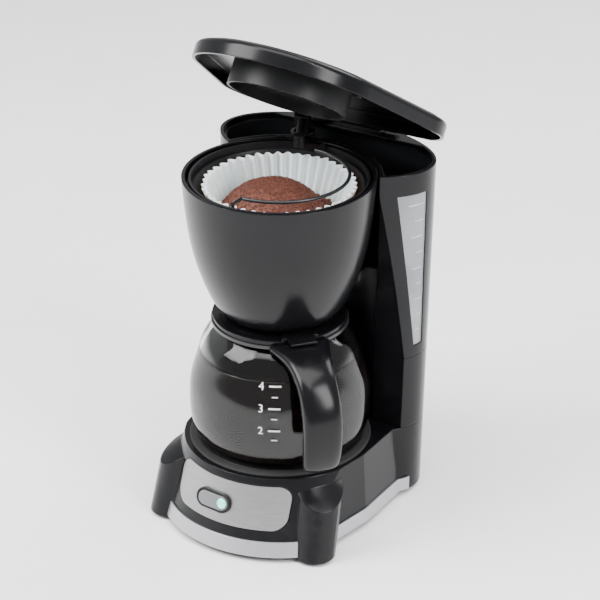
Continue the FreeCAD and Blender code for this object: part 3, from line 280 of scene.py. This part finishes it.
def filter_paper():
    """White crepe paper: fibres, a soft tint and light shining through it."""
    shader = Shader("filter_paper", (0.95, 0.95, 0.93), 0.85, Subsurface_Weight=0.25, Subsurface_Scale=0.004)
    fibre = shader.noise(420.0, 8.0, 0.75, stretch=(1.0, 1.0, 0.35))
    shader.vary_colour(fibre, (0.86, 0.855, 0.83), (0.98, 0.98, 0.97))
    shader.bump(fibre, 0.35, 0.00012)
    return shader.material


def ground_coffee():
    shader = Shader("ground_coffee", (0.16, 0.055, 0.03), 0.75)
    speck = shader.noise(520.0, 6.0, 0.8)
    patch = shader.noise(60.0, 3.0)
    shader.vary_colour(speck, (0.03, 0.008, 0.005), (0.21, 0.062, 0.034), 0.3, 0.72)
    shader.vary_roughness(patch, 0.6, 0.95)
    shader.bump(speck, 0.7, 0.0005)
    return shader.material


def lamp_lens():
    shader = Shader("lamp_lens", (0.2, 0.75, 0.6), 0.15, Transmission_Weight=0.35, Emission_Strength=1.5)
    glow = shader.noise(160.0, 2.0)
    shader.vary_colour(glow, (0.10, 0.55, 0.42), (0.45, 0.95, 0.80))
    shader.set("Emission Color", (0.25, 0.95, 0.72, 1.0))
    return shader.material


def frosted_window():
    shader = Shader("frosted_window", (0.5, 0.51, 0.53), 0.35, Transmission_Weight=0.15, IOR=1.45)
    broad = shader.noise(26.0, 4.0)
    shader.vary_colour(broad, (0.24, 0.25, 0.27), (0.36, 0.37, 0.39))
    shader.vary_roughness(broad, 0.28, 0.45)
    shader.bump(shader.noise(700.0, 2.0), 0.15, 0.00004)
    return shader.material


def finish_cad():
    """Every CAD node that stays gets its material by its slot in the record."""
    finishes = {
        "black_plastic": black_plastic(),
        "inner_plastic": plain("inner_plastic", (0.008, 0.008, 0.009), 0.4, grain=0.2, edge=0.0005,
                               Specular_IOR_Level=0.3),
        "rubber": plain("rubber", (0.015, 0.015, 0.015), 0.8, grain=0.2, edge=0.0004, scale=500.0),
        "steel": plain("steel", (0.55, 0.55, 0.56), 0.3, 1.0, grain=0.12, scale=1200.0),
        "dark_steel": plain("dark_steel", (0.012, 0.012, 0.013), 0.3, 0.0, grain=0.1),
        "brushed": brushed_metal(),
        "trim": plain("silver_trim", (0.48, 0.48, 0.5), 0.3, 0.9, grain=0.06, edge=0.0006),
        "plate": non_stick(),
        "cast": plain("cast_metal", (0.5, 0.5, 0.5), 0.5, 1.0, grain=0.2, scale=300.0),
        "rocker": plain("rocker_grey", (0.16, 0.165, 0.17), 0.3, grain=0.08, edge=0.0006),
        "lens": lamp_lens(),
        "window": frosted_window(),
        "tank": plain("smoky_tank", (0.014, 0.015, 0.017), 0.3, grain=0.15),
        "silicone": plain("silicone", (0.74, 0.74, 0.71), 0.5, grain=0.06),
        "glass": clear_glass(),
        "paper": filter_paper(),
        "coffee": ground_coffee(),
        "ceramic": plain("ceramic", (0.75, 0.72, 0.66), 0.6, grain=0.08),
    }
    for row in frame["record"]["subparts"]:
        piece = frame["nodes"][row["node"]]
        piece.data.materials.clear()
        piece.data.materials.append(finishes[row["material_slot"]])
    return finishes


# ---------------------------------------------------------------- mesh helpers

def new_piece(name, vertices, faces, material, body, smooth=True):
    mesh = bpy.data.meshes.new(name)
    mesh.from_pydata([tuple(vertex) for vertex in vertices], [], faces)
    shape = bmesh.new()
    shape.from_mesh(mesh)
    bmesh.ops.recalc_face_normals(shape, faces=shape.faces)
    shape.to_mesh(mesh)
    shape.free()
    for face in mesh.polygons:
        face.use_smooth = smooth
    piece = bpy.data.objects.new(name, mesh)
    bpy.context.scene.collection.objects.link(piece)
    mesh.materials.append(material)
    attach(piece, body)
    return piece


def ring_points(reach, z, columns):
    """A level ring of points about the brew axis."""
    return [(AXIS.x + reach * math.cos(2 * math.pi * column / columns),
             AXIS.y + reach * math.sin(2 * math.pi * column / columns), z) for column in range(columns)]


def grid_faces(rows, columns, first=0):
    """Faces between closed rings of points that follow one another from vertex first."""
    faces = []
    for row in range(rows - 1):
        for column in range(columns):
            after = (column + 1) % columns
            a = first + row * columns
            b = a + columns
            faces.append((a + column, a + after, b + after, b + column))
    return faces


def start_fan(columns):
    """Faces from vertex 0 to the ring after it."""
    return [(0, 1 + (column + 1) % columns, 1 + column) for column in range(columns)]


def end_fan(last, columns):
    """Faces from the last vertex to the ring before it."""
    ring = last - columns
    return [(ring + column, ring + (column + 1) % columns, last) for column in range(columns)]


def smooth_step(value):
    value = min(1.0, max(0.0, value))
    return value * value * (3 - 2 * value)


# ---------------------------------------------------------------- paper filter

PAPER_FLUTES = 44
FLUTE_COLUMNS = 12
FLUTE_DEPTH = 1.9 * MM
PAPER_FOOT = 27.0 * MM     # radius of the flat bottom
PAPER_ROWS = 34
PAPER_INSET = 1.6 * MM     # the folds' middle, inside the CAD wall
PAPER_LEAN = 1.2 * MM      # a little more inset above the foot
PAPER_SLUMP = 0.9 * MM     # slow waviness at the rim
PAPER_SPARE = 0.1 * MM     # the folds' least distance from the CAD wall
PAPER_LIFT = 0.3 * MM      # the bottom's height over the CAD bottom
PAPER_SHORT = 0.9 * MM     # left out of the height, so that the wavy rim stays below the CAD rim
PAPER_THICKNESS = 0.22 * MM


def paper_radius(rise):
    """Outer radius of the CAD wall; rise is 0 at the foot and 1 at the rim."""
    return PAPER_FOOT + (PAPER_MID.x - PAPER_LOW.x - PAPER_FOOT) * rise


def add_paper(material):
    """A flat-bottomed cup whose wall is folded into uneven flutes that deepen towards the rim."""
    random.seed(4)
    depth_of = [random.uniform(0.65, 1.2) for _ in range(PAPER_FLUTES)]
    height_of = [random.uniform(-0.9, 0.9) for _ in range(PAPER_FLUTES)]
    columns = PAPER_FLUTES * FLUTE_COLUMNS
    height = PAPER_HIGH.z - PAPER_LOW.z
    vertices = []
    for row in range(PAPER_ROWS):
        rise = row / (PAPER_ROWS - 1)
        for column in range(columns):
            turn = 2 * math.pi * column / columns
            flute = column / FLUTE_COLUMNS
            here, share = int(flute) % PAPER_FLUTES, flute % 1.0
            after = (here + 1) % PAPER_FLUTES
            depth = depth_of[here] * (1 - share) + depth_of[after] * share
            wave = math.cos(2 * math.pi * flute + 0.5 * math.sin(3 * turn))
            fold = (abs(wave) ** 0.8) * math.copysign(1.0, wave)
            slump = noise.noise(Vector((math.cos(turn) * 1.6, math.sin(turn) * 1.6, rise * 2.0)))
            reach = paper_radius(rise) - PAPER_INSET - PAPER_LEAN * smooth_step(rise * 3)
            reach += FLUTE_DEPTH * smooth_step(rise * 1.25) * depth * fold + PAPER_SLUMP * rise * slump
            reach = min(reach, paper_radius(rise) - PAPER_SPARE)
            drop = (height_of[here] * (1 - share) + height_of[after] * share) * 0.6 * MM
            z = PAPER_LOW.z + PAPER_LIFT + (height - PAPER_SHORT) * rise + (drop * smooth_step(rise * 4 - 3))
            vertices.append((AXIS.x + reach * math.cos(turn), AXIS.y + reach * math.sin(turn), z))
    faces = grid_faces(PAPER_ROWS, columns)
    vertices.append((AXIS.x, AXIS.y, PAPER_LOW.z + PAPER_LIFT))
    centre = len(vertices) - 1
    faces += [(centre, (column + 1) % columns, column) for column in range(columns)]
    paper = new_piece("fluted_paper", vertices, faces, material, "machine")
    thick = paper.modifiers.new("thickness", "SOLIDIFY")
    thick.thickness = PAPER_THICKNESS
    thick.offset = -1
    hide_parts("paper_filter")


# ---------------------------------------------------------------- coffee grounds

HEAP_SHIFT = (-4.0 * MM, -2.5 * MM)
HEAP_RADIUS = 37.0 * MM
HEAP_RISE = 23.0 * MM
HEAP_BALL = (HEAP_RADIUS ** 2 + HEAP_RISE ** 2) / (2 * HEAP_RISE)
HEAP_PROUD = 0.6 * MM      # loose grounds stand a little over the CAD heap
HEAP_RINGS = 46
HEAP_COLUMNS = 150
HEAP_GAP = 0.4 * MM        # between the heap and the CAD grounds' side and foot
HEAP_FOOT = PAPER_FOOT - 3.0 * MM
LUMP_HEIGHT = 0.8 * MM
CRUMB_HEIGHT = 0.6 * MM
GRAIN_COUNT = 3400
GRAIN_LEAST = 0.35
GRAIN_MOST = 0.85          # half widths, in millimetres
GRAIN_MARGIN = 2.5 * MM    # no grains this close to the paper
GRAIN_CORNERS = ((1, 0, 0), (-1, 0, 0), (0, 1, 0), (0, -1, 0), (0, 0, 0.8), (0, 0, -0.8))


def heap_lift(x, y):
    """Height of the rounded heap above the level grounds; x and y start at the brew axis."""
    away = math.hypot(x - HEAP_SHIFT[0], y - HEAP_SHIFT[1])
    if away >= HEAP_RADIUS:
        return 0.0
    return math.sqrt(HEAP_BALL ** 2 - away ** 2) - HEAP_BALL + HEAP_RISE


def add_grounds(material):
    """A heap poured in the middle: a lumpy surface, and loose grains lying on it."""
    random.seed(11)
    low, high, _ = node_box("coffee_grounds")
    edge = high.x - AXIS.x - HEAP_GAP
    level = high.z - HEAP_RISE + HEAP_PROUD
    columns = HEAP_COLUMNS

    def surface(x, y):
        lump = noise.fractal(Vector((x * 90, y * 90, 0.3)), 0.8, 2.1, 4)
        fine = noise.noise(Vector((x * 620, y * 620, 2.0)))
        reach = math.hypot(x, y) / edge
        lift = heap_lift(x, y)
        rough = (LUMP_HEIGHT * lump + CRUMB_HEIGHT * fine) * (1 - 0.6 * reach)
        return min(level + lift + rough, high.z + HEAP_PROUD)

    vertices = [(AXIS.x, AXIS.y, surface(0, 0))]
    for ring in range(1, HEAP_RINGS + 1):
        reach = edge * ring / HEAP_RINGS
        for column in range(columns):
            turn = 2 * math.pi * column / columns
            x, y = reach * math.cos(turn), reach * math.sin(turn)
            vertices.append((AXIS.x + x, AXIS.y + y, surface(x, y)))
    faces = [(0, 1 + column, 1 + (column + 1) % columns) for column in range(columns)]
    faces += grid_faces(HEAP_RINGS, columns, first=1)
    first = len(vertices)
    vertices += ring_points(HEAP_FOOT, low.z + HEAP_GAP, columns)
    faces += grid_faces(2, columns, first=first - columns)
    faces.append(tuple(first + column for column in reversed(range(columns))))
    heap = new_piece("ground_coffee_heap", vertices, faces, material, "machine")
    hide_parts("coffee_grounds")

    vertices, faces = [], []
    for _ in range(GRAIN_COUNT):
        turn = random.uniform(0, 2 * math.pi)
        reach = (edge - GRAIN_MARGIN) * math.sqrt(random.random())
        x, y = reach * math.cos(turn), reach * math.sin(turn)
        size = random.uniform(GRAIN_LEAST, GRAIN_MOST) * MM
        spot = Vector((AXIS.x + x, AXIS.y + y, surface(x, y) + 0.25 * size))
        angle = random.uniform(0, 6.28)
        tilt = Matrix.Rotation(angle, 3, Vector((random.random(), random.random(), 0.4)))
        first = len(vertices)
        for corner in GRAIN_CORNERS:
            wobble = random.uniform(0.75, 1.2)
            vertices.append(spot + tilt @ (Vector(corner) * size * wobble))
        for a, b in ((0, 2), (2, 1), (1, 3), (3, 0)):
            faces.append((first + a, first + b, first + 4))
            faces.append((first + b, first + a, first + 5))
    new_piece("loose_grains", vertices, faces, material, "machine", smooth=False)


# ---------------------------------------------------------------- carafe's glass and coffee

# Carafe's outline from its floor to its rim: (radius, height above the floor), in millimetres
GLASS_OUTLINE = [(49.0, 0.0), (57.0, 4.5), (60.7, 13.0), (62.0, 28.0), (61.0, 43.0), (56.0, 61.0),
                 (49.7, 76.0), (41.7, 84.5), (39.5, 89.2)]
GLASS_STEPS = 14
GLASS_COLUMNS = 160
GLASS_WALL = 2.0 * MM

COFFEE_LEVEL = 122.0 * MM
COFFEE_GAP = 1.9 * MM      # from the glass's outside: a little into the wall, so that no air shows
COFFEE_ROWS = 40
COFFEE_COLUMNS = 120
# Rings of the meniscus: (distance in from the edge, drop below the level), in millimetres
MENISCUS = ((0.5, 0.35), (1.4, 0.75), (3.5, 0.95), (20.0, 1.0))


def glass_curve():
    """Points of the natural cubic curve through the outline, as (radius, z) in metres."""
    points = numpy.array(GLASS_OUTLINE) * MM + numpy.array((0.0, GLASS_LOW.z))
    lengths = numpy.linalg.norm(numpy.diff(points, axis=0), axis=1)
    count = len(points)
    system, right = numpy.eye(count), numpy.zeros((count, 2))
    for i in range(1, count - 1):
        system[i, i - 1:i + 2] = (lengths[i - 1], 2 * (lengths[i - 1] + lengths[i]), lengths[i])
        right[i] = 6 * ((points[i + 1] - points[i]) / lengths[i]
                        - (points[i] - points[i - 1]) / lengths[i - 1])
    bend = numpy.linalg.solve(system, right)
    curve = []
    for i in range(count - 1):
        h = lengths[i]
        for step in range(GLASS_STEPS + (i == count - 2)):
            a = h * step / GLASS_STEPS
            b = h - a
            curve.append((bend[i] * b ** 3 + bend[i + 1] * a ** 3) / (6 * h)
                         + (points[i] / h - bend[i] * h / 6) * b
                         + (points[i + 1] / h - bend[i + 1] * h / 6) * a)
    return [(float(radius), float(z)) for radius, z in curve]


def glass_radius(curve, z):
    """Outer radius of the glass at height z."""
    for (low_radius, low), (high_radius, high) in zip(curve, curve[1:]):
        if low <= z <= high:
            return low_radius + (high_radius - low_radius) * (z - low) / (high - low)
    return curve[-1][0]


def add_glass(material, curve):
    """One blown carafe: outer skin, rounded rim, inner skin and floor."""
    floor = GLASS_LOW.z + GLASS_WALL
    rim_radius, rim = curve[-1]
    outline = [(0.0, curve[0][1])] + curve[:-1]
    outline += [(rim_radius - 0.1 * MM, rim - 0.4 * MM), (rim_radius - 0.6 * MM, rim - 0.02 * MM),
                (rim_radius - GLASS_WALL + 0.6 * MM, rim - 0.02 * MM)]
    outline += [(radius - GLASS_WALL, z) for radius, z in reversed(curve) if floor < z < rim - 0.5 * MM]
    outline.append((0.0, floor))
    vertices = [(AXIS.x, AXIS.y, outline[0][1])]
    for radius, z in outline[1:-1]:
        vertices += ring_points(radius, z, GLASS_COLUMNS)
    vertices.append((AXIS.x, AXIS.y, outline[-1][1]))
    faces = start_fan(GLASS_COLUMNS)
    faces += grid_faces(len(outline) - 2, GLASS_COLUMNS, first=1)
    faces += end_fan(len(vertices) - 1, GLASS_COLUMNS)
    glass = new_piece("blown_glass", vertices, faces, material, "carafe")
    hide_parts("carafe_glass", "carafe_shoulder")


def add_coffee(material, curve):
    """The brewed coffee: it fills the glass to its level, with a small meniscus."""
    low = GLASS_LOW.z + COFFEE_GAP
    vertices = [(AXIS.x, AXIS.y, low)]
    for row in range(COFFEE_ROWS):
        z = low + (COFFEE_LEVEL - low) * row / (COFFEE_ROWS - 1)
        vertices += ring_points(glass_radius(curve, z) - COFFEE_GAP, z, COFFEE_COLUMNS)
    edge = glass_radius(curve, COFFEE_LEVEL) - COFFEE_GAP
    for inward, drop in MENISCUS:
        vertices += ring_points(edge - inward * MM, COFFEE_LEVEL - drop * MM, COFFEE_COLUMNS)
    vertices.append((AXIS.x, AXIS.y, COFFEE_LEVEL - 1.0 * MM))
    faces = start_fan(COFFEE_COLUMNS)
    faces += grid_faces(COFFEE_ROWS + len(MENISCUS), COFFEE_COLUMNS, first=1)
    faces += end_fan(len(vertices) - 1, COFFEE_COLUMNS)
    new_piece("brewed_coffee", vertices, faces, material, "carafe")


# ---------------------------------------------------------------- cup marks

MARK_TURN = math.radians(23.5)
# Height of each cup's dash in millimetres; the numbers are too blurred to read in the photo
MARK_HEIGHTS = (("4", 119.5), ("3", 105.0), ("2", 89.5))
MARK_LIFT = 0.12 * MM
NUMERAL_SIZE = 7.5 * MM
NUMERAL_LEFT = -6.5 * MM
NUMERAL_DROP = 2.6 * MM
HALF_CUP_DROP = 7.0 * MM


def on_glass(curve, along, z):
    """A point on the outside of the glass: along is the arc length from the marks' centre line."""
    reach = glass_radius(curve, z) + MARK_LIFT
    turn = MARK_TURN + along / reach
    return (AXIS.x + reach * math.sin(turn), AXIS.y - reach * math.cos(turn), z)


def wrapped_mesh(name, shapes, curve, material, body):
    """One piece from flat shapes of points and polygons, laid on the glass."""
    vertices, faces = [], []
    for points, polygons in shapes:
        first = len(vertices)
        vertices += [on_glass(curve, x, z) for x, z in points]
        faces += [tuple(first + index for index in polygon) for polygon in polygons]
    return new_piece(name, vertices, faces, material, body)


def number_mesh(text, size, at_x, at_z):
    """A numeral as flat polygons."""
    data = bpy.data.curves.new("numeral", "FONT")
    data.body = text
    data.size = size
    data.fill_mode = "FRONT"
    numeral = bpy.data.objects.new("numeral", data)
    bpy.context.scene.collection.objects.link(numeral)
    bpy.context.view_layer.update()
    settled = numeral.evaluated_get(bpy.context.evaluated_depsgraph_get())
    mesh = bpy.data.meshes.new_from_object(settled)
    points = [(at_x + vertex.co.x, at_z + vertex.co.y) for vertex in mesh.vertices]
    polygons = [tuple(face.vertices) for face in mesh.polygons]
    bpy.data.objects.remove(numeral)
    bpy.data.curves.remove(data)
    bpy.data.meshes.remove(mesh)
    return points, polygons


def dash_mesh(x0, x1, z, thick, steps=8):
    """A flat level dash, in short steps so that it follows the glass."""
    points, polygons = [], []
    for step in range(steps + 1):
        x = x0 + (x1 - x0) * step / steps
        points += [(x, z - thick / 2), (x, z + thick / 2)]
    for step in range(steps):
        a = 2 * step
        polygons.append((a, a + 2, a + 3, a + 1))
    return points, polygons


def add_marks(curve):
    """Cup numbers and dashes printed in white on the glass."""
    ink = plain("white_ink", (0.88, 0.88, 0.86), 0.45, grain=0.04)
    shapes = []
    for text, height in MARK_HEIGHTS:
        z = height * MM
        shapes.append(number_mesh(text, NUMERAL_SIZE, NUMERAL_LEFT, z - NUMERAL_DROP))
        shapes.append(dash_mesh(0.5 * MM, 8.5 * MM, z, 1.1 * MM))
        shapes.append(dash_mesh(2.5 * MM, 6.5 * MM, z - HALF_CUP_DROP, 0.7 * MM))
    wrapped_mesh("cup_marks", shapes, curve, ink, "carafe")


# ---------------------------------------------------------------- handle

# Centre line of the handle as (reach from the axis, height, half width, half depth), in millimetres
HANDLE_LINE = [(47.5, 142.3, 21.0, 4.4), (53.0, 142.0, 18.6, 4.6), (60.0, 140.8, 16.0, 5.2),
               (69.0, 137.6, 14.2, 6.0), (78.5, 131.5, 13.4, 6.4), (86.0, 122.5, 13.2, 6.5),
               (90.6, 111.0, 13.2, 6.4), (91.2, 99.0, 13.2, 6.2), (90.0, 87.0, 13.0, 5.8),
               (87.6, 77.5, 12.2, 5.2), (86.6, 73.6, 9.5, 3.4)]
HANDLE_TURN = math.radians(49.0)
HANDLE_SIDES = 28
HANDLE_CREASE = 2.9      # exponent of the rounded-rectangle section
HANDLE_STEPS = 5         # sections per row of the centre line
HUG_SECTIONS = 12.0      # this many sections are bent round the collar, each less than the last
COLLAR_RADIUS = 47.5     # in millimetres; the centre line starts there


def curve_point(values, share):
    """Catmull-Rom value between the middle two of four values."""
    a, b, c, d = values
    return 0.5 * ((2 * b) + (c - a) * share + (2 * a - 5 * b + 4 * c - d) * share ** 2
                  + (3 * b - a - 3 * c + d) * share ** 3)


def add_handle(material):
    """Smooth grip: rounded sections along a centre line, wide where it wraps the collar."""
    out = Vector((math.sin(HANDLE_TURN), -math.cos(HANDLE_TURN), 0))
    side = Vector((math.cos(HANDLE_TURN), math.sin(HANDLE_TURN), 0))
    count = len(HANDLE_LINE)
    fine = []
    for step in range((count - 1) * HANDLE_STEPS + 1):
        where = step / HANDLE_STEPS
        i = min(int(where), count - 2)
        share = where - i
        rows = [HANDLE_LINE[max(0, min(count - 1, i + k))] for k in (-1, 0, 1, 2)]
        fine.append(tuple(curve_point(values, share) for values in zip(*rows)))
    vertices = []
    for index, (reach, height, half, depth) in enumerate(fine):
        before, after = fine[max(0, index - 1)], fine[min(len(fine) - 1, index + 1)]
        along = Vector((after[0] - before[0], after[1] - before[1])).normalized()
        across = Vector((along.y, -along.x))
        hug = max(0.0, 1 - index / HUG_SECTIONS)
        for step in range(HANDLE_SIDES):
            turn = 2 * math.pi * step / HANDLE_SIDES
            u = math.copysign(abs(math.cos(turn)) ** (2 / HANDLE_CREASE), math.cos(turn)) * half
            v = math.copysign(abs(math.sin(turn)) ** (2 / HANDLE_CREASE), math.sin(turn)) * depth
            bend = hug * (math.sqrt(max(0.0, COLLAR_RADIUS ** 2 - u * u)) - COLLAR_RADIUS)
            r = (reach + across.x * v + bend) * MM
            z = (height + across.y * v) * MM
            vertices.append(AXIS + out * r + side * (u * MM) + Vector((0, 0, z)))
    faces = grid_faces(len(fine), HANDLE_SIDES)
    faces.append(tuple(range(HANDLE_SIDES)))
    faces.append(tuple(reversed(range(len(vertices) - HANDLE_SIDES, len(vertices)))))
    handle = new_piece("grip", vertices, faces, material, "carafe")
    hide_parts("carafe_handle")


# ---------------------------------------------------------------- window scale

WINDOW_TURN = math.radians(60.0)
SCALE_LEVELS = 9
SCALE_START = 0.1          # lowest line and span of the lines, as shares of the window's height
SCALE_SPAN = 0.83
LONG_LINE = 0.62           # line lengths, as rough shares of the window's width
SHORT_LINE = 0.4
LINE_LIFT = 0.12           # in millimetres
LINE_HALF = 0.35 * MM
RAY_COUNT = 120
RAY_FIRST = 40 * MM
RAY_STEP = 0.5             # in millimetres
RAY_START = 0.2            # in metres, outside the window
RAY_LENGTH = 0.3
LEAST_FACING = 0.3         # cosine between the window's face and its outward direction
FEWEST_HITS = 8
RAY_MARGIN = 3             # hits left out at the near edge of the window; one more at the far edge


def add_window_scale():
    """Level lines on the window, long and short in turn, laid on its face by casting rays."""
    ink = plain("scale_ink", (0.62, 0.63, 0.65), 0.4, grain=0.03)
    out = Vector((math.sin(WINDOW_TURN), -math.cos(WINDOW_TURN), 0))
    along = Vector((math.cos(WINDOW_TURN), math.sin(WINDOW_TURN), 0))
    low, high, _ = node_box("water_window")
    tree_source = bmesh.new()
    tree_source.from_mesh(frame["nodes"]["water_window"].data)
    tree = BVHTree.FromBMesh(tree_source)
    tree_source.free()
    vertices, faces = [], []
    for level in range(SCALE_LEVELS):
        z = low.z + (high.z - low.z) * (SCALE_START + SCALE_SPAN * level / (SCALE_LEVELS - 1))
        hits = []
        for step in range(RAY_COUNT):
            place = RAY_FIRST + step * RAY_STEP * MM
            start = AXIS + along * place + out * RAY_START + Vector((0, 0, z))
            spot, normal, _, _ = tree.ray_cast(start, -out, RAY_LENGTH)
            if spot is not None and normal.dot(out) > LEAST_FACING:
                hits.append(spot)
        if len(hits) < FEWEST_HITS:
            continue
        length = LONG_LINE if level % 2 == 0 else SHORT_LINE
        last = len(hits) - RAY_MARGIN - 1
        run = hits[max(RAY_MARGIN, int(last * (1 - length))):last]
        first = len(vertices)
        for spot in run:
            lifted = spot + out * LINE_LIFT * MM
            vertices += [lifted - Vector((0, 0, LINE_HALF)), lifted + Vector((0, 0, LINE_HALF))]
        for index in range(len(run) - 1):
            a = first + 2 * index
            faces.append((a, a + 2, a + 3, a + 1))
    new_piece("window_scale", vertices, faces, ink, "machine")


add_camera()
add_studio()
finishes = finish_cad()
curve = glass_curve()
add_paper(finishes["paper"])
add_grounds(finishes["coffee"])
add_glass(finishes["glass"], curve)
add_coffee(brewed_coffee(), curve)
add_marks(curve)
add_handle(finishes["black_plastic"])
add_window_scale()
